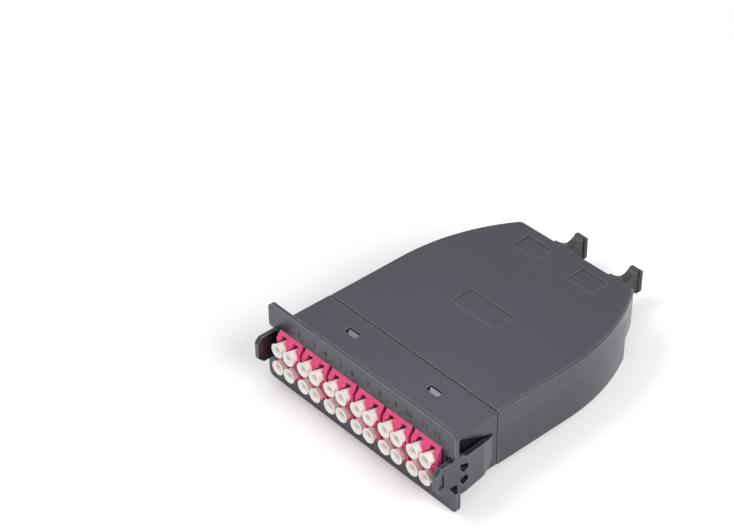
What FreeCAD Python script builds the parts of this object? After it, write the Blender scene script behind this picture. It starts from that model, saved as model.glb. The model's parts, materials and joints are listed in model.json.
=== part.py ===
import FreeCAD, Part
import math
import os
import Sketcher

# Fibre cassette: a faceplate with a box section behind it, a curved rear housing in two
# halves, two sprung side latches, twelve LC duplex adapters with dust caps at the front,
# two MPO adapters with dust plugs at the rear, and the plugs and fibres that join them inside.
# Frame: millimetres, X across, Y from front to rear, +Z up. The origin is the middle of the
# faceplate's foot, the edge on which the cassette rests.

SIZES = [
    # Faceplate with an upper and a lower ear on each side, and a notch between them.
    ("ear_out", 6.2), ("plate_height", 34.4), ("plate_thick", 1.6), ("plate_corner", 2.6),
    ("upper_ear_inset", 1.2), ("notch_low", 8.6), ("notch_high", 23.8), ("notch_gap", 0.2),
    ("ear_corner", 0.7),
    # Box section behind the faceplate, as wide as the columns of adapters and a margin.
    ("body_margin", 0.81), ("body_low", 3.0), ("body_high", 27.5), ("sleeve_length", 23.0),
    ("sleeve_wall", 1.5), ("side_wall", 2.1), ("edge_round", 0.6), ("seam_gap", 0.3),
    ("seam_chamfer", 0.25),
    # Snap windows in the box section, and the tongues with hooks that reach them.
    ("window_width", 5.8), ("window_length", 2.9), ("window_offset", 21.3), ("window_back", 7.0),
    ("hook_clearance", 0.3), ("hook_sink", 0.4), ("hook_slope", 1.9), ("hook_root", 0.2),
    ("tongue_thick", 1.2), ("tongue_clearance", 0.1), ("tongue_width", 70.0),
    ("tongue_reach", 10.6), ("tongue_root", 7.0),
    # Side latches: a tab through the notch, a flap beside the box section and a round root.
    ("latch_thick", 2.0), ("latch_out", 4.2), ("tab_low", 11.2), ("tab_high", 22.4),
    ("latch_nose", 7.8), ("nose_chamfer", 2.4), ("tab_edge", 0.3),
    ("flap_low", 5.6), ("flap_high", 21.4), ("flap_gap", 0.5), ("flap_straight", 4.6),
    ("flap_bend_out", 2.8), ("flap_bend_back", 14.1), ("flap_fall", 1.0), ("flap_corner", 4.6),
    ("root_back", 19.8), ("root_radius", 0.9), ("root_inset", 0.1), ("root_trim", 2.4),
    ("root_clearance", 0.05), ("hole_front", 1.5), ("hole_length", 4.3), ("hole_height", 4.6),
    ("hole_slant", 1.1), ("hole_arch", 1.6), ("hole_low_edge", 3.8), ("hole_high_edge", 1.9),
    ("slot_front", 1.2), ("slot_width", 2.6), ("slot_edge", 2.5), ("slot_depth", 0.6),
    # Recess beside each latch.
    ("recess_depth", 1.2), ("recess_low", 1.4), ("recess_high", 3.8), ("recess_bevel", 2.6),
    ("recess_slope", 12.8),
    # Rear housing.
    ("body_depth", 109.0), ("taper_length", 49.0), ("taper_radius", 88.0), ("rear_corner", 3.0),
    ("wall", 1.5), ("floor", 1.5), ("cover_thick", 2.0), ("cover_skirt", 7.5),
    ("step_length", 9.5), ("corner_rise", 9.5), ("block_half", 27.0), ("block_rise", 3.0),
    ("top_chamfer", 0.6), ("mark_depth", 0.4), ("logo_width", 22.4), ("logo_length", 10.1),
    ("logo_front", 54.9), ("label_width", 12.5), ("label_length", 8.7), ("label_front", 95.4),
    # LC adapters, two above each other in every column.
    ("columns", 6.0), ("column_pitch", 14.33), ("port_pitch", 6.25), ("row_pitch", 7.9),
    ("port_mid_z", 16.0), ("adapter_width", 12.7), ("adapter_key_side", 5.4),
    ("adapter_flat_side", 3.8), ("adapter_front", 2.1), ("adapter_rear", 21.0),
    ("adapter_body_width", 11.5), ("adapter_body_key", 3.3), ("adapter_fit", 0.05),
    ("port_size", 4.7), ("key_width", 2.7), ("key_height", 2.0), ("mouth_slope", 2.7),
    # Dust caps of the LC adapters, each a round flange on a plug.
    ("cap_flange", 5.9), ("cap_flange_thick", 1.0), ("cap_plug", 4.2), ("cap_out", 2.8),
    ("cap_plug_length", 5.6),
    # MPO adapters in the rear wall, and the posts that hold their flanges.
    ("mpo_offset", 14.2), ("mpo_axis_z", 14.3), ("mpo_width", 10.9), ("mpo_height", 12.3),
    ("mpo_out", 6.6), ("mpo_in", 17.0), ("mpo_flange_width", 21.6), ("mpo_flange_thick", 2.0),
    ("mpo_flange_back", 2.9), ("mpo_fit", 0.1), ("mpo_opening", 20.9), ("mpo_bore_x", 6.8),
    ("mpo_bore_z", 9.4), ("mpo_rim", 0.6), ("post_thick", 1.4), ("post_grip", 1.6),
    # Dust plugs of the MPO adapters.
    ("plug_clearance", 0.1), ("plug_seat_gap", 0.2), ("plug_insert", 6.0), ("plug_collar_x", 8.2),
    ("plug_collar_z", 11.0), ("plug_length", 12.4), ("plug_waist", 6.9), ("plug_arc", 5.6),
    ("plug_collar", 1.6), ("plug_taper", 3.4), ("plug_waist_x", 4.2), ("pull_height", 9.8),
    ("pull_thick", 1.8), ("pull_width", 5.0), ("pull_round", 0.7),
    # Plugs inside: LC pairs that share a housing and a boot, and MPO connectors with theirs.
    ("lc_plug_side", 4.5), ("lc_plug_reach", 5.0), ("lc_housing_gap", 2.0),
    ("lc_housing_length", 7.0), ("lc_boot_x", 4.2), ("lc_boot_z", 2.8), ("lc_boot_length", 8.0),
    ("connector_length", 14.0), ("connector_reach", 6.0), ("connector_boot", 4.0),
    ("connector_boot_length", 8.0),
    # Fibres: a trunk, a splitter block on a rest, and a flat leg to each LC pair.
    ("trunk", 2.2), ("trunk_length", 5.0), ("leg_width", 1.9), ("leg_thick", 1.0),
    ("leg_pitch", 3.0), ("leg_straight", 3.0), ("splitter_length", 9.0), ("splitter_edge", 0.6),
    ("fibre_gap", 0.1), ("rest_width", 7.0),
]
ALIASES = dict(SIZES)
COLUMNS = int(ALIASES["columns"])
LEGS = COLUMNS // 2

doc = FreeCAD.newDocument("fibre_cassette")
sheet = doc.addObject("Spreadsheet::Sheet", "Sizes")
for row, (alias, number) in enumerate(SIZES, start=1):
    sheet.set(f"A{row}", alias)
    sheet.set(f"B{row}", str(number))
    sheet.setAlias(f"B{row}", alias)
doc.recompute()

# Places that several pieces share, each a formula of the sizes.
FRONT = "(-plate_thick / 2)"
PLATE_REAR = "(plate_thick / 2)"
HALF = "(columns * column_pitch / 2 + body_margin)"
PLATE_HALF = f"({HALF} + ear_out)"
SEAM = f"({PLATE_REAR} + sleeve_length)"
REAR_FRONT = f"({SEAM} + seam_gap)"
REAR = f"({FRONT} + body_depth)"
PARTING = "(body_high - cover_skirt)"
INNER_TOP = "(body_high - sleeve_wall)"
INNER_LOW = "(body_low + sleeve_wall)"
FLOOR = "(body_low + floor)"
BLOCK_FLOOR = "(body_low + block_rise + floor)"
CORNER_FLOOR = "(body_low + corner_rise + floor)"
STEP = f"({REAR} - step_length)"
MOUTH = f"({FRONT} - adapter_front)"
ADAPTER_END = f"({FRONT} + adapter_rear)"
HOUSING_END = f"({ADAPTER_END} + lc_housing_gap + lc_housing_length)"
BOOT_END = f"({HOUSING_END} + lc_boot_length)"
FLANGE_REAR = f"({REAR} - wall - mpo_flange_back)"
FLANGE_FRONT = f"({FLANGE_REAR} - mpo_flange_thick)"
MPO_LOW = "(mpo_axis_z - mpo_height / 2 - mpo_fit)"
CONNECTOR_NOSE = f"({REAR} - mpo_in + connector_reach)"
CONNECTOR_TAIL = f"({CONNECTOR_NOSE} - connector_length)"
TRUNK_END = f"({CONNECTOR_TAIL} - connector_boot_length)"
SPLITTER_REAR = f"({TRUNK_END} - trunk_length)"
SPLITTER_FRONT = f"({SPLITTER_REAR} - splitter_length)"
SPLITTER_LOW = "(port_mid_z - row_pitch / 2 - leg_thick / 2 - splitter_edge)"
SPLITTER_HALF = f"({LEGS - 1} * leg_pitch / 2 + leg_width / 2 + splitter_edge)"
# Reach past any face, for cuts that go right through.
PAST = "1"
FAR = f"(2 * {HALF} + body_depth)"
MPO_SIDES = (("left", "-mpo_offset"), ("right", "mpo_offset"))
NODES = []


def link(formula):
    """Write the sheet's name before every size in a formula."""
    words = []
    word = ""
    for mark in str(formula) + " ":
        if mark.isalnum() or mark == "_":
            word += mark
        else:
            words.append("Sizes." + word if word in ALIASES else word)
            words.append(mark)
            word = ""
    return "".join(words).strip()


def value(formula):
    """The present value of a formula, as the document works it out."""
    result = sheet.evalExpression(link(formula))
    return float(getattr(result, "Value", result))


def body(name):
    made = doc.addObject("PartDesign::Body", name)
    made.Label = name
    return made


def keep(item, name):
    """Name a finished object as a sub-part of the cassette."""
    item.Label = name
    NODES.append(item)


def seat(item, x, z):
    """Move a sub-part made about its own axis to its place."""
    item.setExpression("Placement.Base.x", link(x))
    item.setExpression("Placement.Base.z", link(z))


def sketch(owner, role, at="0"):
    """A sketch parallel to one of the body's origin planes, at a distance along X, Y or Z."""
    made = owner.newObject("Sketcher::SketchObject", "Sketch")
    plane = [item for item in owner.Origin.OriginFeatures if item.Role == role][0]
    made.AttachmentSupport = (plane, [""])
    made.MapMode = "FlatFace"
    sign = "-" if role == "XZ_Plane" else ""
    made.setExpression("AttachmentOffset.Base.z", link(f"{sign}({at})"))
    return made


def place(made, geometry, point, x, y):
    """Tie a point of a line, arc or circle to a formula for each coordinate."""
    for kind, formula in (("DistanceX", x), ("DistanceY", y)):
        constraint = Sketcher.Constraint(kind, -1, 1, geometry, point, value(formula))
        made.setExpression(f"Constraints[{made.addConstraint(constraint)}]", link(formula))


def spot(x, y):
    return FreeCAD.Vector(value(x), value(y), 0)


def polygon(made, points):
    """A closed outline through points given as formulas."""
    spots = [spot(x, y) for x, y in points]
    count = len(spots)
    first = made.GeometryCount
    for i in range(count):
        made.addGeometry(Part.LineSegment(spots[i], spots[(i + 1) % count]), False)
    for i in range(count):
        joined = Sketcher.Constraint("Coincident", first + i, 2, first + (i + 1) % count, 1)
        made.addConstraint(joined)
        place(made, first + i, 1, *points[i])


def rectangle(made, x_low, y_low, x_high, y_high):
    polygon(made, [(x_low, y_low), (x_high, y_low), (x_high, y_high), (x_low, y_high)])


def circle(made, x, y, radius):
    number = made.addGeometry(Part.Circle(spot(x, y), FreeCAD.Vector(0, 0, 1), value(radius)), False)
    place(made, number, 3, x, y)
    tied = made.addConstraint(Sketcher.Constraint("Radius", number, value(radius)))
    made.setExpression(f"Constraints[{tied}]", link(radius))


def extrude(owner, kind, made, length):
    """Pad or pocket a sketch towards +X, +Y or +Z."""
    feature = owner.newObject("PartDesign::" + kind, kind)
    feature.Profile = made
    feature.setExpression("Length", link(length))
    faces_front = made.AttachmentSupport[0][0].Role == "XZ_Plane"
    feature.Reversed = faces_front == (kind == "Pad")
    made.Visibility = False


def block(owner, kind, low, high):
    """Pad or pocket a box between two corners given as formulas."""
    made = sketch(owner, "XY_Plane", low[2])
    rectangle(made, low[0], low[1], high[0], high[1])
    extrude(owner, kind, made, f"({high[2]}) - ({low[2]})")


def dress(owner, kind, size, wanted):
    """Fillet or chamfer the edges of the body so far that a test picks."""
    doc.recompute()
    base = owner.Tip
    edges = base.Shape.Edges
    names = [f"Edge{i}" for i, edge in enumerate(edges, start=1) if wanted(edge, edge.CenterOfMass)]
    feature = owner.newObject("PartDesign::" + kind, kind)
    feature.Base = (base, names)
    feature.setExpression("Radius" if kind == "Fillet" else "Size", link(size))


def near(a, formula):
    return abs(a - value(formula)) < 0.001


def arc(made, x, y, radius, start, end):
    """An arc about a centre given as formulas, between two angles in radians."""
    whole = Part.Circle(spot(x, y), FreeCAD.Vector(0, 0, 1), value(radius))
    number = made.addGeometry(Part.ArcOfCircle(whole, start, end), False)
    place(made, number, 3, x, y)
    return number


def rear_outline(made, inset, front, rear):
    """Straight sides from the front, then an arc on each side to the rear, all inset evenly."""
    half = f"({HALF} - {inset})"
    radius = f"(taper_radius - {inset})"
    start = f"({REAR} - taper_length)"
    reach = f"(({rear}) - {start})"
    centre_x = f"({HALF} - taper_radius)"
    end_x = f"({centre_x} + sqrt({radius} * {radius} - {reach} * {reach}))"
    turn = math.asin(value(reach) / value(radius))
    corners = [("-" + half, front), (half, front), (half, start), (end_x, rear), ("-" + end_x, rear),
               ("-" + half, start)]
    for i in (0, 1):
        made.addGeometry(Part.LineSegment(spot(*corners[i]), spot(*corners[i + 1])), False)
    arc(made, centre_x, start, radius, 0, turn)
    made.addGeometry(Part.LineSegment(spot(*corners[3]), spot(*corners[4])), False)
    arc(made, "-" + centre_x, start, radius, math.pi - turn, math.pi)
    made.addGeometry(Part.LineSegment(spot(*corners[5]), spot(*corners[0])), False)
    for i in range(6):
        made.addConstraint(Sketcher.Constraint("Coincident", i, 2, (i + 1) % 6, 1))
    for line in (0, 1, 3, 5):
        place(made, line, 1, *corners[line])


def column_x(index):
    return f"(({index} - (columns - 1) / 2) * column_pitch)"


def port_z(row):
    return f"(port_mid_z + {row} * row_pitch / 2)"


def make_front_frame():
    frame = body("front_frame")
    outline = sketch(frame, "XZ_Plane", FRONT)
    notch = f"({HALF} + notch_gap)"
    upper = f"({PLATE_HALF} - upper_ear_inset)"
    side = [(PLATE_HALF, "0"), (PLATE_HALF, "notch_low"), (notch, "notch_low"),
            (notch, "notch_high"), (upper, "notch_high"), (upper, "plate_height")]
    polygon(outline, side + [(f"-({x})", height) for x, height in reversed(side)])
    extrude(frame, "Pad", outline, "plate_thick")
    dress(frame, "Fillet", "plate_corner", lambda edge, mid: near(edge.Length, "plate_thick")
          and (near(mid.z, "0") or near(mid.z, "plate_height")))
    dress(frame, "Chamfer", "ear_corner", lambda edge, mid: near(edge.Length, "plate_thick")
          and (near(mid.z, "notch_low") or near(mid.z, "notch_high")))
    block(frame, "Pad", (f"-{HALF}", PLATE_REAR, "body_low"), (HALF, SEAM, "body_high"))
    dress(frame, "Fillet", "edge_round", lambda edge, mid: near(edge.Length, "sleeve_length"))
    dress(frame, "Chamfer", "seam_chamfer", lambda edge, mid: near(edge.BoundBox.YMin, SEAM))
    block(frame, "Pocket", (f"-{HALF} + side_wall", PLATE_REAR, INNER_LOW),
          (f"{HALF} - side_wall", f"{SEAM} + {PAST}", INNER_TOP))
    openings = sketch(frame, "XZ_Plane", f"{FRONT} - {PAST}")
    across = "(adapter_width / 2 + adapter_fit)"
    up = "(row_pitch / 2 + adapter_key_side + adapter_fit)"
    for index in range(COLUMNS):
        rectangle(openings, f"{column_x(index)} - {across}", f"port_mid_z - {up}",
                  f"{column_x(index)} + {across}", f"port_mid_z + {up}")
    extrude(frame, "Pocket", openings, f"plate_thick + 2 * {PAST}")
    windows = sketch(frame, "XY_Plane", f"body_low - {PAST}")
    front = f"({SEAM} - window_back - window_length)"
    for sign in ("-", ""):
        rectangle(windows, f"{sign}window_offset - window_width / 2", front,
                  f"{sign}window_offset + window_width / 2", f"{front} + window_length")
    extrude(frame, "Pocket", windows, "plate_height")
    latch_recesses(frame)
    keep(frame, "front_frame")


def latch_recesses(frame):
    """Shallow recesses beside the latches, each with a round seat for the latch's root."""
    rear = f"({PLATE_REAR} + root_back - 2 * root_inset)"
    low, high = "(flap_low - recess_low)", "(flap_high + recess_high)"
    profile = [(PLATE_REAR, low), (f"{rear} - recess_bevel", low), (rear, f"{low} + recess_bevel"),
               (rear, "flap_high - root_trim"), (f"{rear} - recess_slope", high), (PLATE_REAR, high)]
    for start in (f"({HALF} - recess_depth)", f"(-{HALF} - {PAST})"):
        cut = sketch(frame, "YZ_Plane", start)
        polygon(cut, profile)
        extrude(frame, "Pocket", cut, f"recess_depth + {PAST}")
    seats = sketch(frame, "XY_Plane", "flap_low + root_trim - root_clearance")
    for sign in ("", "-"):
        circle(seats, f"{sign}({HALF} - root_inset)", f"{PLATE_REAR} + root_back",
               "root_radius + root_clearance")
    extrude(frame, "Pocket", seats, "flap_high - flap_low - 2 * (root_trim - root_clearance)")


def make_latches():
    latch = body("latch_right")
    outer = f"({HALF} + latch_out)"
    inner = f"({outer} - latch_thick)"
    bend = f"({HALF} + flap_bend_out)"
    bend_y = f"({PLATE_REAR} + flap_bend_back)"
    root_x = f"({HALF} - root_inset)"
    root_y = f"({PLATE_REAR} + root_back)"
    nose = f"({FRONT} - latch_nose)"
    below, above = f"(flap_low - {PAST})", f"(tab_high + {PAST})"
    plan = sketch(latch, "XY_Plane", "flap_low")
    polygon(plan, [(inner, nose), (outer, nose), (outer, f"{PLATE_REAR} + flap_straight"),
                   (bend, bend_y), (f"{root_x} + root_radius", root_y), (root_x, root_y),
                   (f"{bend} - latch_thick", bend_y), (inner, f"{PLATE_REAR} + flap_straight")])
    extrude(latch, "Pad", plan, "tab_high - flap_low")
    flap_front = f"({PLATE_REAR} + flap_gap)"
    flap_step = f"({PLATE_REAR} + flap_straight)"
    beyond = f"({root_y} + 2 * root_radius)"
    chamfer_y = f"({nose} + nose_chamfer)"
    before = f"({nose} - {PAST})"
    trims = [
        # Under the tab, with the nose's lower corner.
        [(before, below), (flap_front, below), (flap_front, "tab_low"), (chamfer_y, "tab_low"),
         (nose, "tab_low + nose_chamfer"), (before, "tab_low + nose_chamfer")],
        # The nose's upper corner.
        [(before, "tab_high - nose_chamfer"), (nose, "tab_high - nose_chamfer"),
         (chamfer_y, "tab_high"), (chamfer_y, above), (before, above)],
        # Over the flap, whose upper edge falls towards the root.
        [(f"{flap_step} - flap_fall", "tab_high"), (flap_step, "flap_high"),
         (bend_y, "flap_high - flap_fall"), (f"{root_y} - root_radius", "flap_high - root_trim"),
         (beyond, "flap_high - root_trim"), (beyond, above), (f"{flap_step} - flap_fall", above)],
        # Under the flap, bevelled up to the root.
        [(f"{root_y} - flap_corner", below), (f"{root_y} - flap_corner", "flap_low"),
         (f"{root_y} - flap_corner / 2", "flap_low + root_trim / 4"),
         (f"{root_y} - root_radius", "flap_low + root_trim"), (beyond, "flap_low + root_trim"),
         (beyond, below)],
    ]
    for outline in trims:
        trim = sketch(latch, "YZ_Plane", f"{HALF} - latch_thick")
        polygon(trim, outline)
        extrude(latch, "Pocket", trim, "latch_out + 2 * latch_thick")
    # Two arched holes in the flap.
    holes = sketch(latch, "YZ_Plane", f"{HALF} - latch_thick")
    hole_y = f"({PLATE_REAR} + hole_front)"
    hole_end = f"({hole_y} + hole_length)"
    for low in ("(flap_low + hole_low_edge)", "(flap_high - hole_high_edge - hole_height)"):
        top = f"({low} + hole_height)"
        polygon(holes, [(hole_y, top), (f"{hole_end} - hole_slant / 2", f"{top} - hole_slant"),
                        (hole_end, f"{low} + hole_arch"),
                        (f"{hole_end} - hole_slant", f"{low} + hole_slant / 2"),
                        (f"{hole_y} + hole_arch", low), (hole_y, f"({low} + {top}) / 2")])
    extrude(latch, "Pocket", holes, "latch_out + 2 * latch_thick")
    # Grip slot in the tab's outer face.
    slot = sketch(latch, "YZ_Plane", f"{outer} - slot_depth")
    rectangle(slot, f"{nose} + slot_front", "tab_low + slot_edge",
              f"{nose} + slot_front + slot_width", "tab_high - slot_edge")
    extrude(latch, "Pocket", slot, f"slot_depth + {PAST}")
    root = sketch(latch, "XY_Plane", "flap_low + root_trim")
    circle(root, root_x, root_y, "root_radius")
    extrude(latch, "Pad", root, "flap_high - flap_low - 2 * root_trim")
    plate_y = value(FRONT)
    dress(latch, "Chamfer", "tab_edge", lambda edge, mid: near(mid.x, outer) and mid.y < plate_y
          and (near(mid.z, "tab_high") or near(mid.z, "tab_low") or near(mid.y, nose)))
    keep(latch, "latch_right")
    mirrored(latch, "latch_left")


def mirrored(source, name):
    """A sub-part that mirrors another across the middle plane."""
    made = doc.addObject("Part::Mirroring", name)
    made.Source = source
    made.Normal = FreeCAD.Vector(1, 0, 0)
    keep(made, name)


def make_base():
    base = body("base_shell")
    outline = sketch(base, "XY_Plane", "body_low")
    rear_outline(outline, "0", REAR_FRONT, REAR)
    extrude(base, "Pad", outline, f"{PARTING} - body_low")
    dress(base, "Fillet", "rear_corner", lambda edge, mid: near(mid.y, REAR)
          and near(edge.Length, f"{PARTING} - body_low"))
    dress(base, "Chamfer", "seam_chamfer", lambda edge, mid: near(edge.BoundBox.ZMin, PARTING)
          or (near(mid.y, REAR_FRONT) and near(abs(mid.x), HALF)))
    # The inside is stepped up with the underside.
    upper = sketch(base, "XY_Plane", CORNER_FLOOR)
    rear_outline(upper, "wall", f"{REAR_FRONT} - {PAST}", f"{REAR} - wall")
    extrude(base, "Pocket", upper, "cover_skirt + corner_rise")
    lower = sketch(base, "XY_Plane", FLOOR)
    rear_outline(lower, "wall", f"{REAR_FRONT} - {PAST}", f"{STEP} - wall")
    extrude(base, "Pocket", lower, "corner_rise")
    block(base, "Pocket", ("-block_half + wall", f"{STEP} - 2 * wall", BLOCK_FLOOR),
          ("block_half - wall", f"{REAR} - wall", CORNER_FLOOR))
    beyond = f"({REAR} + {PAST})"
    under = f"(body_low - {PAST})"
    block(base, "Pocket", (f"-{HALF}", STEP, under), ("-block_half", beyond, "body_low + corner_rise"))
    block(base, "Pocket", ("block_half", STEP, under), (HALF, beyond, "body_low + corner_rise"))
    block(base, "Pocket", ("-block_half", STEP, under), ("block_half", beyond, "body_low + block_rise"))
    # Openings for the MPO adapters, open at the top so that the adapters drop in.
    for side, middle in MPO_SIDES:
        block(base, "Pocket", (f"{middle} - mpo_opening / 2", f"{REAR} - wall - mpo_fit", MPO_LOW),
              (f"{middle} + mpo_opening / 2", beyond, f"{PARTING} + {PAST}"))
    # Posts that grip the MPO flanges at their ends, slotted from above.
    post_front = f"({FLANGE_FRONT} - mpo_fit - post_thick)"
    inside = f"({REAR} - wall)"
    inner_grip = "(mpo_offset - mpo_flange_width / 2 + post_grip)"
    outer_grip = "(mpo_offset + mpo_flange_width / 2 - post_grip)"
    block(base, "Pad", (f"-{inner_grip}", post_front, BLOCK_FLOOR), (inner_grip, inside, PARTING))
    block(base, "Pad", (outer_grip, post_front, BLOCK_FLOOR), ("block_half - wall", inside, PARTING))
    block(base, "Pad", ("-block_half + wall", post_front, BLOCK_FLOOR),
          (f"-{outer_grip}", inside, PARTING))
    for side, middle in MPO_SIDES:
        half = "(mpo_flange_width / 2 + mpo_fit)"
        block(base, "Pocket", (f"{middle} - {half}", f"{FLANGE_FRONT} - mpo_fit", MPO_LOW),
              (f"{middle} + {half}", f"{FLANGE_REAR} + mpo_fit", f"{PARTING} + {PAST}"))
        block(base, "Pad", (f"{middle} - mpo_width / 2", post_front, BLOCK_FLOOR),
              (f"{middle} + mpo_width / 2", inside, MPO_LOW))
        # Rest under the splitter block.
        block(base, "Pad", (f"{middle} - rest_width / 2", SPLITTER_FRONT, FLOOR),
              (f"{middle} + rest_width / 2", SPLITTER_REAR, f"{SPLITTER_LOW} - fibre_gap"))
    bottom = f"({INNER_LOW} + tongue_clearance)"
    tongue(base, bottom, f"({bottom} + tongue_thick)", FLOOR)
    hooks(base, bottom, "-1")
    keep(base, "base_shell")


def tongue(owner, low, high, skin):
    """A flat tongue into the box section, and its root along the housing's own skin."""
    sides = ("-tongue_width / 2", "tongue_width / 2")
    root_low, root_high = (skin, high) if value(skin) < value(high) else (low, skin)
    root_end = f"({REAR_FRONT} + tongue_root)"
    block(owner, "Pad", (sides[0], REAR_FRONT, root_low), (sides[1], root_end, root_high))
    block(owner, "Pad", (sides[0], f"{REAR_FRONT} - tongue_reach", low), (sides[1], REAR_FRONT, high))


def hooks(owner, face, up):
    """Two wedge hooks on a tongue: flat towards the rear, sloped towards the front."""
    rear = f"({SEAM} - window_back - hook_clearance)"
    front = f"({SEAM} - window_back - window_length + hook_clearance)"
    base = f"({face} - {up} * hook_root)"
    tip = f"({face} + {up} * (sleeve_wall + tongue_clearance - hook_sink))"
    for sign in ("-", ""):
        wedge = sketch(owner, "YZ_Plane", f"{sign}window_offset - window_width / 2 + hook_clearance")
        polygon(wedge, [(front, base), (rear, base), (rear, tip), (f"{front} + hook_slope", tip)])
        extrude(owner, "Pad", wedge, "window_width - 2 * hook_clearance")


def make_cover():
    cover = body("top_cover")
    outline = sketch(cover, "XY_Plane", PARTING)
    rear_outline(outline, "0", REAR_FRONT, REAR)
    extrude(cover, "Pad", outline, "cover_skirt")
    dress(cover, "Fillet", "rear_corner", lambda edge, mid: near(mid.y, REAR)
          and near(edge.Length, "cover_skirt"))
    dress(cover, "Chamfer", "top_chamfer", lambda edge, mid: near(edge.BoundBox.ZMin, "body_high")
          and edge.BoundBox.YMax > value(REAR_FRONT) + value(PAST))
    dress(cover, "Chamfer", "seam_chamfer", lambda edge, mid: near(edge.BoundBox.ZMax, PARTING)
          or (near(edge.BoundBox.YMax, REAR_FRONT) and not near(mid.z, PARTING)))
    inside = sketch(cover, "XY_Plane", f"{PARTING} - {PAST}")
    rear_outline(inside, "wall", f"{REAR_FRONT} - {PAST}", f"{REAR} - wall")
    extrude(cover, "Pocket", inside, f"cover_skirt - cover_thick + {PAST}")
    for side, middle in MPO_SIDES:
        block(cover, "Pocket", (f"{middle} - mpo_opening / 2", f"{REAR} - wall - mpo_fit", f"{PARTING} - {PAST}"),
              (f"{middle} + mpo_opening / 2", f"{REAR} + {PAST}", "body_high - cover_thick"))
    # Shallow recesses for the logo and for two label squares.
    marks = sketch(cover, "XY_Plane", "body_high - mark_depth")
    rectangle(marks, "-logo_width / 2", f"{FRONT} + logo_front",
              "logo_width / 2", f"{FRONT} + logo_front + logo_length")
    for side, middle in MPO_SIDES:
        rectangle(marks, f"{middle} - label_width / 2", f"{FRONT} + label_front",
                  f"{middle} + label_width / 2", f"{FRONT} + label_front + label_length")
    extrude(cover, "Pocket", marks, f"mark_depth + {PAST}")
    top = f"({INNER_TOP} - tongue_clearance)"
    tongue(cover, f"({top} - tongue_thick)", top, "(body_high - cover_thick)")
    hooks(cover, top, "1")
    keep(cover, "top_cover")


def make_adapter(name, index, row):
    """One duplex adapter, made about the middle of its two ports with the key side up."""
    adapter = body(name)
    block(adapter, "Pad", ("-adapter_width / 2", MOUTH, "-adapter_flat_side"),
          ("adapter_width / 2", PLATE_REAR, "adapter_key_side"))
    block(adapter, "Pad", ("-adapter_body_width / 2", PLATE_REAR, "-adapter_flat_side"),
          ("adapter_body_width / 2", ADAPTER_END, "adapter_body_key"))
    slope = sketch(adapter, "YZ_Plane", "-adapter_width")
    low, high = "adapter_key_side - mouth_slope", "adapter_key_side + mouth_slope"
    polygon(slope, [(f"{MOUTH} - {PAST}", low), (MOUTH, low), (FRONT, "adapter_key_side"),
                    (FRONT, high), (f"{MOUTH} - {PAST}", high)])
    extrude(adapter, "Pocket", slope, "2 * adapter_width")
    ports = sketch(adapter, "XZ_Plane", f"{MOUTH} - {PAST}")
    side, key = "port_size / 2", "key_width / 2"
    for sign in ("-", ""):
        x = f"{sign}port_pitch / 2"
        polygon(ports, [(f"{x} - {side}", f"-{side}"), (f"{x} + {side}", f"-{side}"),
                        (f"{x} + {side}", side), (f"{x} + {key}", side),
                        (f"{x} + {key}", f"{side} + key_height"), (f"{x} - {key}", f"{side} + key_height"),
                        (f"{x} - {key}", side), (f"{x} - {side}", side)])
    extrude(adapter, "Pocket", ports, FAR)
    if row < 0:
        turned = FreeCAD.Rotation(FreeCAD.Vector(0, 1, 0), 180)
        adapter.Placement = FreeCAD.Placement(FreeCAD.Vector(), turned)
    seat(adapter, column_x(index), port_z(row))
    keep(adapter, name)


def make_cap(name, index, side, row):
    """A turned dust cap: a flange, and a plug that enters the port."""
    cap = body(name)
    profile = sketch(cap, "XY_Plane")
    front = f"({MOUTH} - cap_out)"
    back = f"({front} + cap_flange_thick)"
    rear = f"({MOUTH} + cap_plug_length)"
    polygon(profile, [
        ("0", front), ("cap_flange / 2", front), ("cap_flange / 2", back), ("cap_plug / 2", back),
        ("cap_plug / 2", rear), ("0", rear)])
    turned = cap.newObject("PartDesign::Revolution", "Turned")
    turned.Profile = profile
    turned.ReferenceAxis = (profile, ["V_Axis"])
    turned.Angle = 360
    seat(cap, f"{column_x(index)} + {side} * port_pitch / 2", port_z(row))
    keep(cap, name)


def make_front_row():
    for row, word in ((1, "upper"), (-1, "lower")):
        for index in range(COLUMNS):
            make_adapter(f"adapter_{word}_{index + 1}", index, row)
            make_cap(f"cap_{word}_{2 * index + 1}", index, "-1", row)
            make_cap(f"cap_{word}_{2 * index + 2}", index, "1", row)


def make_mpo_adapter(side, middle):
    adapter = body("mpo_adapter_" + side)
    width, height = "mpo_width / 2", "mpo_height / 2"
    block(adapter, "Pad", (f"-{width}", f"{REAR} - mpo_in", f"-{height}"),
          (width, f"{REAR} + mpo_out", height))
    block(adapter, "Pad", ("-mpo_flange_width / 2", FLANGE_FRONT, f"-{height}"),
          ("mpo_flange_width / 2", FLANGE_REAR, height))
    bore = sketch(adapter, "XZ_Plane", f"{REAR} - mpo_in - {PAST}")
    rectangle(bore, "-mpo_bore_x / 2", "-mpo_bore_z / 2", "mpo_bore_x / 2", "mpo_bore_z / 2")
    extrude(adapter, "Pocket", bore, FAR)
    dress(adapter, "Chamfer", "mpo_rim", lambda edge, mid: near(edge.BoundBox.YMin, f"{REAR} + mpo_out")
          and (near(abs(mid.x), width) or near(abs(mid.z), height)))
    seat(adapter, middle, "mpo_axis_z")
    keep(adapter, "mpo_adapter_" + side)


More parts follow.
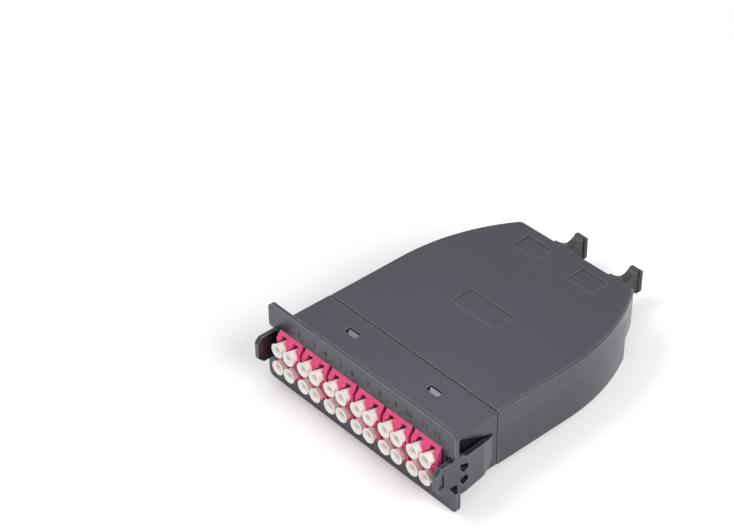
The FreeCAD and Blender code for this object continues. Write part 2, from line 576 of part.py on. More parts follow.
def make_mpo_plug(side, middle):
    """A dust plug: a block in the bore, a waisted grip and a flat pull."""
    plug = body("mpo_plug_" + side)
    face = f"({REAR} + mpo_out + plug_seat_gap)"
    end = f"({face} + plug_length)"
    pull = f"({end} - pull_thick)"
    half_x, half_z = "(mpo_bore_x / 2 - plug_clearance)", "(mpo_bore_z / 2 - plug_clearance)"
    block(plug, "Pad", (f"-{half_x}", f"{face} - plug_insert", f"-{half_z}"), (half_x, face, half_z))
    block(plug, "Pad", ("-plug_collar_x / 2", face, "-plug_collar_z / 2"),
          ("plug_collar_x / 2", pull, "plug_collar_z / 2"))
    waist = sketch(plug, "YZ_Plane", "-plug_collar_x")
    for sign in ("-", ""):
        circle(waist, f"({face} + plug_collar / 2 + {pull}) / 2", f"{sign}(plug_waist / 2 + plug_arc)", "plug_arc")
    extrude(plug, "Pocket", waist, "2 * plug_collar_x")
    # The grip narrows sideways from the collar to the pull.
    taper = sketch(plug, "XY_Plane", "-plug_collar_z")
    shoulder = f"({face} + plug_collar)"
    for sign in ("-", ""):
        polygon(taper, [(f"{sign}(plug_collar_x / 2)", shoulder),
                        (f"{sign}(plug_waist_x / 2)", f"{shoulder} + plug_taper"),
                        (f"{sign}(plug_waist_x / 2)", f"{end} + {PAST}"),
                        (f"{sign}plug_collar_x", f"{end} + {PAST}"), (f"{sign}plug_collar_x", shoulder)])
    extrude(plug, "Pocket", taper, "2 * plug_collar_z")
    block(plug, "Pad", ("-pull_width / 2", pull, "-pull_height / 2"),
          ("pull_width / 2", end, "pull_height / 2"))
    dress(plug, "Fillet", "pull_round", lambda edge, mid: near(edge.Length, "pull_width")
          and near(mid.y, end) and near(abs(mid.z), "pull_height / 2"))
    seat(plug, middle, "mpo_axis_z")
    keep(plug, "mpo_plug_" + side)


def make_connector(side, middle):
    """The MPO connector that enters its adapter from inside, with a square boot."""
    connector = body("mpo_connector_" + side)
    half_x, half_z = "(mpo_bore_x / 2 - plug_clearance)", "(mpo_bore_z / 2 - plug_clearance)"
    block(connector, "Pad", (f"-{half_x}", CONNECTOR_TAIL, f"-{half_z}"), (half_x, CONNECTOR_NOSE, half_z))
    boot = "connector_boot / 2"
    block(connector, "Pad", (f"-{boot}", TRUNK_END, f"-{boot}"), (boot, CONNECTOR_TAIL, boot))
    seat(connector, middle, "mpo_axis_z")
    keep(connector, "mpo_connector_" + side)


def make_lc_pair(index, row):
    """Two LC plugs on one housing and boot, pushed into an adapter from behind."""
    plug = body(f"lc_pair_{index + 1}_{'upper' if row > 0 else 'lower'}")
    half = "lc_plug_side / 2"
    nose = f"{ADAPTER_END} - lc_plug_reach"
    joint = f"{ADAPTER_END} + lc_housing_gap"
    block(plug, "Pad", (f"-port_pitch / 2 - {half}", joint, f"-{half}"),
          (f"port_pitch / 2 + {half}", HOUSING_END, half))
    for sign in ("-", ""):
        x = f"{sign}port_pitch / 2"
        block(plug, "Pad", (f"{x} - {half}", nose, f"-{half}"), (f"{x} + {half}", joint, half))
    block(plug, "Pad", ("-lc_boot_x / 2", HOUSING_END, "-lc_boot_z / 2"),
          ("lc_boot_x / 2", BOOT_END, "lc_boot_z / 2"))
    seat(plug, column_x(index), port_z(row))
    return plug


def make_lc_plugs():
    for index in range(COLUMNS):
        group = doc.addObject("Part::Compound", f"lc_plugs_{index + 1}")
        group.Links = [make_lc_pair(index, 1), make_lc_pair(index, -1)]
        keep(group, f"lc_plugs_{index + 1}")


def make_fanouts():
    fanout = body("fibre_fanout_right")
    splitter = (f"mpo_offset - {SPLITTER_HALF}", f"mpo_offset + {SPLITTER_HALF}")
    block(fanout, "Pad", (splitter[0], SPLITTER_FRONT, SPLITTER_LOW),
          (splitter[1], SPLITTER_REAR, f"2 * port_mid_z - {SPLITTER_LOW}"))
    trunk = sketch(fanout, "XZ_Plane", SPLITTER_REAR)
    circle(trunk, "mpo_offset", "mpo_axis_z", "trunk / 2")
    extrude(fanout, "Pad", trunk, "trunk_length - fibre_gap")
    end = f"({BOOT_END} + fibre_gap)"
    for row in (1, -1):
        legs = sketch(fanout, "XY_Plane", f"{port_z(row)} - leg_thick / 2")
        for number in range(LEGS):
            start_x = f"(mpo_offset + ({number} - {(LEGS - 1) / 2}) * leg_pitch)"
            route = [(start_x, SPLITTER_FRONT), (start_x, f"{SPLITTER_FRONT} - leg_straight"),
                     (column_x(LEGS + number), f"{end} + leg_straight"), (column_x(LEGS + number), end)]
            left = [(f"{x} - leg_width / 2", y) for x, y in route]
            right = [(f"{x} + leg_width / 2", y) for x, y in reversed(route)]
            polygon(legs, left + right)
        extrude(fanout, "Pad", legs, "leg_thick")
    keep(fanout, "fibre_fanout_right")
    mirrored(fanout, "fibre_fanout_left")


make_front_frame()
make_latches()
make_base()
make_cover()
make_front_row()
for side, middle in MPO_SIDES:
    make_mpo_adapter(side, middle)
    make_mpo_plug(side, middle)
    make_connector(side, middle)
make_lc_plugs()
make_fanouts()
doc.recompute()

for item in doc.Objects:
    if "Invalid" in item.State or "Error" in item.State:
        raise RuntimeError(f"{item.Label} failed: {item.State}")

os.makedirs("parts", exist_ok=True)
for item in NODES:
    shape = item.Shape
    if shape.isNull() or not shape.isValid():
        raise RuntimeError(f"{item.Label} has no valid shape")
    shape.exportStep(os.path.join("parts", item.Label + ".step"))
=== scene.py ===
import json
import math

import bmesh
import bpy
from mathutils import Matrix, Vector


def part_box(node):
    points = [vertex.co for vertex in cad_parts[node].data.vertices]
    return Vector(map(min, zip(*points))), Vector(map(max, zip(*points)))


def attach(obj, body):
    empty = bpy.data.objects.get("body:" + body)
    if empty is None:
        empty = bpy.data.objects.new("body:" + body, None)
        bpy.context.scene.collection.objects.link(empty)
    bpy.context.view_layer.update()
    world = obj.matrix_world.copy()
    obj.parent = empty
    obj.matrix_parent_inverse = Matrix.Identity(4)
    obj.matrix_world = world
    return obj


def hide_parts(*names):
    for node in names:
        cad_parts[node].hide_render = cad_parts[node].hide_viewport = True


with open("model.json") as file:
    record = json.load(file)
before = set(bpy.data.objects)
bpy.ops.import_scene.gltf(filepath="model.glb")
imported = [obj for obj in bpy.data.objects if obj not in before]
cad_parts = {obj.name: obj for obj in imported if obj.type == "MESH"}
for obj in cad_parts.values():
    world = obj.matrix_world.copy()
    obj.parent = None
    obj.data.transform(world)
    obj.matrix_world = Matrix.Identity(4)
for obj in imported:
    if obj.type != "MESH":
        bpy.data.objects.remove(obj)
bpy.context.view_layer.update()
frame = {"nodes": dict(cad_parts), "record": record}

# Dressing of the fibre cassette. Units are metres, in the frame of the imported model:
# X across the faceplate, Y from front to rear, Z up, the origin at the faceplate's foot.
MM = 0.001


# ---------------------------------------------------------------------------------------
# Node trees

class Value:
    """An output socket in a node tree, with the usual arithmetic."""

    def __init__(self, nodes, socket):
        self.nodes = nodes
        self.socket = socket

    def maths(self, operation, *others):
        return self.nodes.add("ShaderNodeMath", {"operation": operation}, [self, *others])

    def __add__(self, other):
        return self.maths("ADD", other)

    def __radd__(self, other):
        return self + other

    def __sub__(self, other):
        return self.maths("SUBTRACT", other)

    def __rsub__(self, other):
        return self * -1 + other

    def __mul__(self, other):
        return self.maths("MULTIPLY", other)

    def __rmul__(self, other):
        return self * other

    def __truediv__(self, other):
        return self.maths("DIVIDE", other)

    def __rtruediv__(self, other):
        return self.maths("POWER", -1) * other

    def power(self, other):
        return self.maths("POWER", other)

    def clamped(self):
        return self.nodes.add("ShaderNodeClamp", {}, [self, 0.0, 1.0])


def set_stops(ramp, stops):
    """Give a colour ramp these stops, each a place from 0 to 1 and a colour."""
    while len(ramp.elements) < len(stops):
        ramp.elements.new(1.0)
    for element, (place, colour) in zip(ramp.elements, stops):
        element.position = place
        element.color = colour


def set_curve(mapping, spots):
    """Make a float curve straight from each of these spots to the next."""
    points = mapping.curves[0].points
    while len(points) < len(spots):
        points.new(1.0, 1.0)
    for point, (x, y) in zip(points, spots):
        point.location = (x, y)
        point.handle_type = "VECTOR"
    mapping.update()


class Nodes:
    """A node tree, with one method that adds any node."""

    def __init__(self, tree):
        self.tree = tree

    def add(self, kind, settings=None, inputs=(), output=0):
        """Add a node: its settings first, then its sockets by order or by name."""
        node = self.tree.nodes.new(kind)
        for name, setting in (settings or {}).items():
            if name == "stops":
                set_stops(node.color_ramp, setting)
            elif name == "curve":
                set_curve(node.mapping, setting)
            else:
                setattr(node, name, setting)
        pairs = inputs.items() if isinstance(inputs, dict) else enumerate(inputs)
        for key, given in pairs:
            self.fill(node.inputs[key], given)
        return Value(self, node.outputs[output])

    def fill(self, socket, given):
        """Link a value to a socket, or set it to a plain number, colour or the like."""
        if isinstance(given, Value):
            self.tree.links.new(given.socket, socket)
        elif given is not None:
            socket.default_value = given

    def seen_directly(self):
        """1 for rays from the camera, also by way of a mirror or glass, and 0 for others."""
        camera, glossy, clear = [self.add("ShaderNodeLightPath", output=f"Is {kind} Ray")
                                 for kind in ("Camera", "Glossy", "Transmission")]
        return (camera + glossy + clear).clamped()


# A Mix node's socket names repeat for each type of data, so colours go by place.
MIX_FACTOR, MIX_FIRST, MIX_SECOND = 0, 6, 7
MIX_COLOUR = 2

EDGE_SAMPLES = 6        # rays sent by each Bevel and Ambient Occlusion node
ROUNDED_SHARE = 0.5     # of the edge's width, rounded in the normal
TURN_GAIN = 9           # brings a corner's turn up to about 1
TURN_POWER = 3          # fades the painted edge highlight where another surface lies near


class Finish(Nodes):
    """A procedural material."""

    def __init__(self, name):
        self.material = bpy.data.materials.new(name)
        self.material.use_nodes = True
        super().__init__(self.material.node_tree)
        self.tree.nodes.clear()
        self.place = self.add("ShaderNodeTexCoord", output="Object")

    def noise(self, size, detail=2.0, rough=0.5):
        """A noise from 0 to 1 whose features are about so large, in metres."""
        return self.add("ShaderNodeTexNoise", {}, {
            "Vector": self.place, "Scale": 1 / size, "Detail": detail, "Roughness": rough})

    def between(self, factor, first, second):
        """A colour between two colours."""
        return self.add("ShaderNodeMix", {"data_type": "RGBA"}, {
            MIX_FACTOR: factor, MIX_FIRST: first, MIX_SECOND: second}, output=MIX_COLOUR)

    def blend(self, patterns, shares):
        """Patterns added up in these shares, kept between 0 and 1."""
        parts = [pattern * share for pattern, share in zip(patterns, shares)]
        return sum(parts[1:], parts[0]).clamped()

    def spread(self, value, low, high):
        """A value from 0 to 1 mapped between two limits."""
        return value * (high - low) + low

    def edges(self, width, reach=1.0 * MM):
        """The softened normal, the mask of the painted edge highlight where the surface turns an
        outer corner, and how open it lies.
        """
        rounded = self.add("ShaderNodeBevel", {"samples": EDGE_SAMPLES},
                           {"Radius": width * ROUNDED_SHARE})
        widely = self.add("ShaderNodeBevel", {"samples": EDGE_SAMPLES}, {"Radius": width})
        flat = self.add("ShaderNodeNewGeometry", output="Normal")
        turn = self.add("ShaderNodeVectorMath", {"operation": "DOT_PRODUCT"}, [widely, flat],
                        output="Value")
        open_air = self.add("ShaderNodeAmbientOcclusion", {"samples": EDGE_SAMPLES},
                            {"Distance": reach}, output="AO")
        # painted highlight mask: strong where the surface turns an outer corner, faded near
        # other surfaces
        highlight_mask = ((1 - turn) * TURN_GAIN).clamped() * open_air.power(TURN_POWER)
        return rounded, highlight_mask, open_air

    def bump(self, height, depth, normal=None):
        """A relief so deep, in metres, on top of a softened normal."""
        return self.add("ShaderNodeBump", {}, {
            "Strength": 1.0, "Distance": depth, "Height": height, "Normal": normal})

    def shader(self, **sockets):
        """Finish the material with a Principled shader."""
        named = {key.replace("_", " "): given for key, given in sockets.items()}
        return self.surfaced(self.add("ShaderNodeBsdfPrincipled", {}, named))

    def surfaced(self, surface):
        """The material, with this shader on its surface."""
        output = self.tree.nodes.new("ShaderNodeOutputMaterial")
        self.tree.links.new(surface.socket, output.inputs["Surface"])
        return self.material


# ---------------------------------------------------------------------------------------
# Finishes

WHITE = (1, 1, 1, 1)
BLACK = (0, 0, 0, 1)
BLUISH = (0.84, 0.86, 1.0, 1)

# Moulded plastic: how much of the wide flow, the cloud and the fine grain goes into each.
TONE_SHARES = (0.65, 0.2, 0.15)
GLOSS_SHARES = (0.5, 0.35, 0.15)
CLOUD_RELIEF = 0.35
EDGE_HIGHLIGHT_SHARE = 0.45       # of the painted edge highlight's colour on every edge
EDGE_HIGHLIGHT_UNEVEN = 0.5       # and up to this much more where the cloud is dense
PAINTED_SHADE_POWER = 2         # painted shade: darkens the plastic's colour in corners and gaps


def moulded_plastic(name, dark, light, edge_highlight, rough, grain=0.35 * MM, specular=0.5,
                    sheen=WHITE, rounding=0.32 * MM, depth=0.012 * MM):
    """Moulded plastic with a fine eroded grain, softened edges with a painted highlight, painted
    shade in corners and gaps, and slightly uneven gloss.
    """
    finish = Finish(name)
    flow = finish.noise(26 * MM, detail=3.0)
    cloud = finish.noise(7 * MM, detail=4.0, rough=0.6)
    texture = finish.noise(grain, detail=3.0, rough=0.6)
    patterns = (flow, cloud, texture)
    rounded, highlight_mask, open_air = finish.edges(rounding)
    # painted shade: the colour darkens where other surfaces lie near, on top of the random tone
    tone_and_shade = finish.blend(patterns, TONE_SHARES) * open_air.power(PAINTED_SHADE_POWER)
    body = finish.between(tone_and_shade, dark, light)
    # painted highlight: the colour goes towards a lighter edge colour along outer corners, more
    # where the cloud is dense
    colour = finish.between(highlight_mask * (EDGE_HIGHLIGHT_SHARE + cloud * EDGE_HIGHLIGHT_UNEVEN), body, edge_highlight)
    gloss = finish.spread(finish.blend(patterns, GLOSS_SHARES), *rough)
    relief = finish.bump(texture + cloud * CLOUD_RELIEF, depth, rounded)
    return finish.shader(Base_Color=colour, Roughness=gloss, Normal=relief,
                         Specular_IOR_Level=specular, Specular_Tint=sheen)


# painted shade: the darker warm colour the caps take in their cups and round the flange's root,
# where other surfaces lie near
CAP_PAINTED_SHADE = (0.90, 0.66, 0.56, 1)
CAP_BODY = (0.985, 0.955, 0.90, 1)
# painted highlight: the lighter colour put on the caps' outer corners, and its share
CAP_EDGE_HIGHLIGHT = (1.0, 0.985, 0.96, 1)
CAP_HIGHLIGHT_SHARE = 0.5
CAP_CLOUDING = 0.3      # how far the cloud moves the colour, half of it each way
CAP_CLOUD_RELIEF = 0.6


def milky_plastic(name):
    """Soft polyethylene of the dust caps, slightly see-through and waxy, with painted shade in
    its hollows and a painted highlight on its outer corners.
    """
    finish = Finish(name)
    cloud = finish.noise(2.6 * MM, detail=3.0)
    fine = finish.noise(0.3 * MM)
    rounded, highlight_mask, open_air = finish.edges(0.18 * MM, reach=1.6 * MM)
    # painted shade: the colour goes towards the shaded colour where other surfaces lie near, and
    # the cloud moves it at random
    shade_and_cloud = (open_air + cloud * CAP_CLOUDING - CAP_CLOUDING / 2).clamped()
    body = finish.between(shade_and_cloud, CAP_PAINTED_SHADE, CAP_BODY)
    # painted highlight: the cap's colour goes lighter along its outer corners
    colour = finish.between(highlight_mask * CAP_HIGHLIGHT_SHARE, body, CAP_EDGE_HIGHLIGHT)
    relief = finish.bump(fine + cloud * CAP_CLOUD_RELIEF, 0.01 * MM, rounded)
    return finish.shader(Base_Color=colour, Roughness=finish.spread(cloud, 0.34, 0.5),
                         Normal=relief, Subsurface_Weight=0.35,
                         Subsurface_Radius=(1.0, 0.62, 0.45), Subsurface_Scale=1.1 * MM)


RIB_PITCH = 3.2 * MM


def fibre_jacket(name):
    """Smooth jacket of the flat fibre legs, with the faint ribs of the fibres inside."""
    finish = Finish(name)
    cloud = finish.noise(4 * MM, detail=3.0)
    ribs = finish.add("ShaderNodeTexWave", {"bands_direction": "X"}, {
        "Vector": finish.place, "Scale": 1 / RIB_PITCH, "Distortion": 0.4, "Detail": 1.0},
        output="Fac")
    colour = finish.between(cloud, (0.42, 0.045, 0.22, 1), (0.58, 0.08, 0.33, 1))
    return finish.shader(Base_Color=colour, Roughness=finish.spread(cloud, 0.4, 0.55),
                         Normal=finish.bump(ribs, 0.04 * MM))


def pad_print(name):
    """Dark paint of the port numbers, a little uneven."""
    finish = Finish(name)
    worn = finish.noise(0.4 * MM, detail=3.0)
    colour = finish.between(worn, (0.012, 0.013, 0.016, 1), (0.035, 0.036, 0.042, 1))
    return finish.shader(Base_Color=colour, Roughness=finish.spread(worn, 0.5, 0.7),
                         Normal=finish.bump(worn, 0.01 * MM), Specular_IOR_Level=0.15)


CHARCOAL_DARK = (0.012, 0.012, 0.016, 1)
# painted highlight: the lighter colour put on the charcoal plastic's outer corners
CHARCOAL_EDGE_HIGHLIGHT = (0.42, 0.42, 0.45, 1)
ADAPTER_GRAIN = 0.6 * MM
ADAPTER_RELIEF = 0.006 * MM

# each finish's edge colour below is a painted highlight along its outer corners
housing_finish = moulded_plastic(
    "satin_charcoal", dark=CHARCOAL_DARK, light=(0.021, 0.021, 0.027, 1), edge_highlight=CHARCOAL_EDGE_HIGHLIGHT,
    rough=(0.2, 0.3), specular=1.0, sheen=BLUISH)
latch_finish = moulded_plastic(
    "satin_charcoal_latch", dark=CHARCOAL_DARK, light=(0.022, 0.022, 0.028, 1),
    edge_highlight=CHARCOAL_EDGE_HIGHLIGHT, rough=(0.16, 0.26), specular=0.95, sheen=BLUISH)
adapter_finish = moulded_plastic(
    "heather_pink", dark=(0.80, 0.05, 0.19, 1), light=(0.92, 0.09, 0.27, 1),
    edge_highlight=(1.0, 0.40, 0.52, 1), rough=(0.2, 0.3), grain=ADAPTER_GRAIN, rounding=0.2 * MM,
    depth=ADAPTER_RELIEF)
violet_finish = moulded_plastic(
    "violet_adapter", dark=(0.33, 0.03, 0.21, 1), light=(0.45, 0.05, 0.29, 1),
    edge_highlight=(0.7, 0.2, 0.5, 1), rough=(0.28, 0.4), grain=ADAPTER_GRAIN, rounding=0.22 * MM,
    depth=ADAPTER_RELIEF)
plug_finish = moulded_plastic(
    "dark_soft_plug", dark=(0.012, 0.012, 0.014, 1), light=(0.02, 0.02, 0.023, 1),
    edge_highlight=(0.14, 0.14, 0.15, 1), rough=(0.35, 0.5))
connector_finish = moulded_plastic(
    "pale_connector", dark=(0.55, 0.53, 0.49, 1), light=(0.68, 0.66, 0.61, 1),
    edge_highlight=(0.82, 0.8, 0.76, 1), rough=(0.32, 0.45))
cap_finish = milky_plastic("milky_cap")
jacket_finish = fibre_jacket("fibre_jacket")
print_finish = pad_print("number_paint")

SLOT_FINISHES = {
    "housing_plastic": housing_finish,
    "lc_adapter_plastic": adapter_finish,
    "cap_plastic": cap_finish,
    "mpo_adapter_plastic": violet_finish,
    "plug_plastic": plug_finish,
    "connector_plastic": connector_finish,
    "fibre_jacket": jacket_finish,
}


def finish_solids():
    """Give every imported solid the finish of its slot, and the latches their glossier one."""
    for part in frame["record"]["subparts"]:
        solid = frame["nodes"][part["node"]]
        finish = SLOT_FINISHES[part["material_slot"]]
        if part["node"].startswith("latch_"):
            finish = latch_finish
        solid.data.materials.clear()
        solid.data.materials.append(finish)


# ---------------------------------------------------------------------------------------
# Pieces

def piece(name, mesh):
    """A mesh as an object of the scene, both with this name."""
    mesh.name = name
    made = bpy.data.objects.new(name, mesh)
    bpy.context.scene.collection.objects.link(made)
    return made


def settled(maker):
    """The plain mesh that an object's modifiers or text give; the object is removed."""
    bpy.context.scene.collection.objects.link(maker)
    bpy.context.view_layer.update()
    ready = maker.evaluated_get(bpy.context.evaluated_depsgraph_get())
    mesh = bpy.data.meshes.new_from_object(ready)
    bpy.data.objects.remove(maker)
    return mesh


def grown(name, tree, settings):
    """A piece from a Geometry Nodes tree with the given inputs."""
    seed = bpy.data.objects.new(name + "_seed", bpy.data.meshes.new(name + "_seed"))
    modifier = seed.modifiers.new("Shape", "NODES")
    modifier.node_group = tree
    for item in tree.interface.items_tree:
        if item.item_type == "SOCKET" and item.in_out == "INPUT" and item.name in settings:
            modifier[item.identifier] = settings[item.name]
    return piece(name, settled(seed))


def outward(mesh):
    """Turn every face of a closed mesh outwards."""
    shell = bmesh.new()
    shell.from_mesh(mesh)
    bmesh.ops.recalc_face_normals(shell, faces=shell.faces)
    shell.to_mesh(mesh)
    shell.free()


# ---------------------------------------------------------------------------------------
# Dust caps

CAP_OUTLINE = [
    # Radius and distance behind the front, in millimetres, from the cup's floor round the
    # rim and along the plug to its end.
    (0.0, 1.9), (0.95, 1.9), (1.28, 1.75), (1.42, 1.3), (1.62, 0.55), (1.95, 0.26),
    (2.5, 0.1), (2.74, 0.0), (2.88, 0.04), (2.95, 0.18), (2.93, 0.36), (2.8, 0.52),
    (2.62, 0.68), (2.5, 0.9), (2.42, 1.3), (2.34, 2.2), (2.1, 5.2), (1.87, 8.15),
    (1.78, 8.36), (1.6, 8.4), (0.0, 8.4)]
CAP_RADII, CAP_DEPTHS = zip(*CAP_OUTLINE)
CAP_SIDES = 48
CAP_WELD = 0.002 * MM


def add_input(tree, name, kind, default=None):
    """A named input of the tree, with its usual size."""
    socket = tree.interface.new_socket(name, in_out="INPUT", socket_type=kind)
    if default is not None:
        socket.default_value = default


def cap_tree():
    """A turned cap: a grid whose rows follow the outline and whose columns go round."""
    tree = bpy.data.node_groups.new("dust_cap", "GeometryNodeTree")
    add_input(tree, "Geometry", "NodeSocketGeometry")
    add_input(tree, "Centre", "NodeSocketVector", (0, 0, 0))
    add_input(tree, "Rim radius", "NodeSocketFloat", max(CAP_RADII) * MM)
    add_input(tree, "Length", "NodeSocketFloat", max(CAP_DEPTHS) * MM)
    add_input(tree, "Sides", "NodeSocketInt", CAP_SIDES)
    tree.interface.new_socket("Geometry", in_out="OUTPUT", socket_type="NodeSocketGeometry")
    nodes = Nodes(tree)
    given = tree.nodes.new("NodeGroupInput")
    centre, rim, length, sides = [Value(nodes, given.outputs[key])
                                  for key in ("Centre", "Rim radius", "Length", "Sides")]
    rows = len(CAP_OUTLINE)
    grid = nodes.add("GeometryNodeMeshGrid", {}, {
        "Size X": 1.0, "Size Y": 1.0, "Vertices X": rows, "Vertices Y": sides + 1})
    index = nodes.add("GeometryNodeInputIndex")
    half_step = 0.5     # keeps the division clear of whole numbers
    row = ((index + half_step) / (sides + 1)).maths("FLOOR")
    column = index - row * (sides + 1)
    along = row / (rows - 1)

    def outlined(sizes, whole):
        """Radius or depth of each row, as the outline has it, up to the whole size."""
        spots = [(i / (rows - 1), size / max(sizes)) for i, size in enumerate(sizes)]
        return nodes.add("ShaderNodeFloatCurve", {"curve": spots},
                         {"Factor": 1.0, "Value": along}) * whole

    radius = outlined(CAP_RADII, rim)
    depth = outlined(CAP_DEPTHS, length)
    angle = column / sides * math.tau
    spot = nodes.add("ShaderNodeCombineXYZ", {}, [
        radius * angle.maths("COSINE"), depth, radius * angle.maths("SINE")])
    placed = nodes.add("ShaderNodeVectorMath", {"operation": "ADD"}, [spot, centre])
    shaped = nodes.add("GeometryNodeSetPosition", {}, {"Geometry": grid, "Position": placed})
    closed = nodes.add("GeometryNodeMergeByDistance", {}, {
        "Geometry": shaped, "Distance": CAP_WELD})
    smooth = nodes.add("GeometryNodeSetShadeSmooth", {}, {"Geometry": closed})
    real = nodes.add("GeometryNodeRealizeInstances", {}, {"Geometry": smooth})
    coated = nodes.add("GeometryNodeSetMaterial", {}, {
        "Geometry": real, "Material": cap_finish})
    result = tree.nodes.new("NodeGroupOutput")
    tree.links.new(coated.socket, result.inputs["Geometry"])
    return tree


def dress_caps():
    """Put a turned cap with a bell mouth in the place of each packed one."""
    tree = cap_tree()
    caps = sorted(name for name in frame["nodes"] if name.startswith("cap_"))
    for name in caps:
        low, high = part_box(name)
        centre = ((low.x + high.x) / 2, low.y, (low.z + high.z) / 2)
        cap = grown("moulded_" + name, tree, {"Centre": centre})
        outward(cap.data)
        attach(cap, name)
        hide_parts(name)


# ---------------------------------------------------------------------------------------
# Port numbers

PORTS = 12
NUMBER_HEIGHT = 2.5 * MM
NUMBER_RISE = 0.03 * MM     # how far the paint stands out of the plate
NUMBER_SHIFT = 1.2 * MM     # of each number to the right of its port
NUMBER_FOOT = 28.3 * MM     # the numbers' lower edge, over the faceplate's foot
DIGIT_SHARE = 0.7           # a digit's height as a share of the letter size


def printed(text):
    """A number as a thin mesh, flat on XY."""
    words = bpy.data.curves.new("number", "FONT")
    words.body = text
    words.size = NUMBER_HEIGHT / DIGIT_SHARE
    words.align_x = "CENTER"
    words.extrude = NUMBER_RISE
    return settled(bpy.data.objects.new("number", words))


def number_ports():
    """Plain numbers over the upper ports, painted on the faceplate's front."""
    plate_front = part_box("front_frame")[0].y
    upright = Matrix.Rotation(math.pi / 2, 4, "X")
    shell = bmesh.new()
    for port in range(1, PORTS + 1):
        low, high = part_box(f"cap_upper_{port}")
        middle = (low.x + high.x) / 2 + NUMBER_SHIFT
        mesh = printed(str(port))
        mesh.transform(Matrix.Translation((middle, plate_front, NUMBER_FOOT)) @ upright)
        shell.from_mesh(mesh)
    mesh = bpy.data.meshes.new("port_numbers")
    shell.to_mesh(mesh)
    shell.free()
    mesh.materials.append(print_finish)
    numbers = piece("port_numbers", mesh)
    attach(numbers, "housing")


# ---------------------------------------------------------------------------------------
# Floor, light and camera

REAR_FOOT = Vector((0, 98.7 * MM, 3.0 * MM))
FRONT_FOOT = Vector((0, 0.8 * MM, 0))
FLOOR_REACH = 3.0           # from the front foot to each side
FLOOR_DROP = 0.02 * MM      # of the floor below both feet
FLOOR_NEAR = 0.2            # distance from the origin where the paper starts to fade
FLOOR_FAR = 0.6             # and where it's plain white
PAPER_GLOW = (0.19, 0.19, 0.19, 1)


def make_floor():
    """A pale floor through the faceplate's foot and the rear end of the underside."""
    slope = (REAR_FOOT - FRONT_FOOT).normalized()
    along, across = slope * FLOOR_REACH, Vector((FLOOR_REACH, 0, 0))
    middle = FRONT_FOOT + Vector((0, 0, -FLOOR_DROP))
    spots = [middle + a * across + b * along for a, b in ((-1, -1), (1, -1), (1, 1), (-1, 1))]
    mesh = bpy.data.meshes.new("floor")
    mesh.from_pydata([tuple(spot) for spot in spots], [], [(0, 1, 2, 3)])
    finish = Finish("floor_paper")
    fibres = finish.noise(1.2 * MM, detail=3.0)
    colour = finish.between(fibres, (0.86, 0.86, 0.862, 1), (0.88, 0.88, 0.882, 1))
    seen = finish.seen_directly()
    away = finish.add("ShaderNodeVectorMath", {"operation": "LENGTH"}, [finish.place],
                      output="Value")
    faded = ((away - FLOOR_NEAR) / (FLOOR_FAR - FLOOR_NEAR)).clamped() * seen
    paper = finish.add("ShaderNodeBsdfPrincipled", {}, {
        "Base Color": colour, "Roughness": 0.9, "Specular IOR Level": 0.1,
        "Emission Color": finish.between(seen, BLACK, PAPER_GLOW), "Emission Strength": 1.0})
    white = finish.add("ShaderNodeEmission", {}, {"Color": WHITE, "Strength": 1.0})
    mixed = finish.add("ShaderNodeMixShader", {}, [faded, paper, white])
    mesh.materials.append(finish.surfaced(mixed))
    floor = piece("floor", mesh)


ROOM_COLOUR = (0.88, 0.88, 0.9, 1)
ROOM_STRENGTH = 0.37
PALE_GREY = (0.5, 0.5, 0.51, 1)
BACKDROP = [(0.0, WHITE), (0.4, WHITE), (0.52, PALE_GREY), (0.56, PALE_GREY), (0.66, WHITE)]


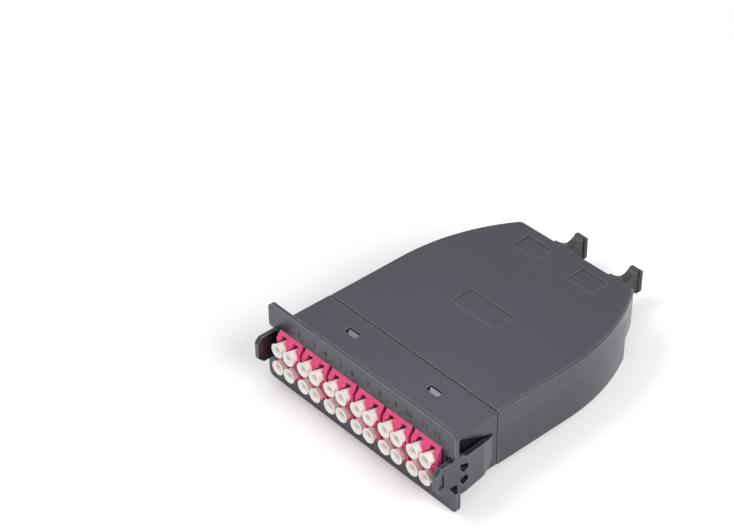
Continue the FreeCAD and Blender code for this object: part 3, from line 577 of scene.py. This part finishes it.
def make_room():
    """An even room light, seen as white with a pale grey band about half-way up."""
    world = bpy.data.worlds.new("studio")
    world.use_nodes = True
    world.node_tree.nodes.clear()
    bpy.context.scene.world = world
    nodes = Nodes(world.node_tree)
    room = nodes.add("ShaderNodeBackground", {}, {
        "Color": ROOM_COLOUR, "Strength": ROOM_STRENGTH})
    direction = nodes.add("ShaderNodeTexCoord", output="Generated")
    height = nodes.add("ShaderNodeSeparateXYZ", {}, [direction], output="Z")
    backdrop = nodes.add("ShaderNodeValToRGB", {"stops": BACKDROP}, [height])
    white = nodes.add("ShaderNodeBackground", {}, {"Color": backdrop, "Strength": 1.0})
    mixed = nodes.add("ShaderNodeMixShader", {}, [nodes.seen_directly(), room, white])
    output = world.node_tree.nodes.new("ShaderNodeOutputWorld")
    world.node_tree.links.new(mixed.socket, output.inputs["Surface"])


def softbox(name, place, target, size, power, colour=(1, 1, 1)):
    """A rectangular lamp turned to its target."""
    light = bpy.data.lights.new(name, "AREA")
    light.shape = "RECTANGLE"
    light.size, light.size_y = size
    light.energy = power
    light.color = colour
    lamp = bpy.data.objects.new(name, light)
    lamp.location = place
    lamp.rotation_euler = (Vector(target) - Vector(place)).to_track_quat("-Z", "Y").to_euler()
    bpy.context.scene.collection.objects.link(lamp)


def make_lamps():
    softbox("overhead", place=(-0.42, 0.42, 1.0), target=(-0.42, 0.42, 0), size=(1.0, 0.9),
            power=1.5, colour=(0.88, 0.92, 1.0))
    softbox("left_front", place=(-0.5, -0.42, 0.95), target=(0, 0.03, 0), size=(0.5, 0.5),
            power=4.6)
    softbox("right_side", place=(0.85, 0.05, 0.62), target=(0, 0.05, 0.02), size=(0.7, 0.5),
            power=8.5)


CAMERA_PLACE = (0.38778, -0.33095, 0.46316)
CAMERA_TURN = (52.8571, 0.8117, 48.5438)    # degrees about X, Y and Z
LENS_LENGTH = 95.06                         # millimetres, as is the sensor's width
SENSOR_WIDTH = 36.0
NEAREST = 0.01                              # metres, where the view starts


def make_camera():
    lens = bpy.data.cameras.new("camera")
    lens.lens = LENS_LENGTH
    lens.sensor_width = SENSOR_WIDTH
    lens.clip_start = NEAREST
    camera = bpy.data.objects.new("camera", lens)
    camera.location = CAMERA_PLACE
    camera.rotation_euler = [math.radians(turn) for turn in CAMERA_TURN]
    bpy.context.scene.collection.objects.link(camera)
    bpy.context.scene.camera = camera


finish_solids()
dress_caps()
number_ports()
make_floor()
make_room()
make_lamps()
make_camera()
bpy.context.scene.view_settings.view_transform = "Standard"
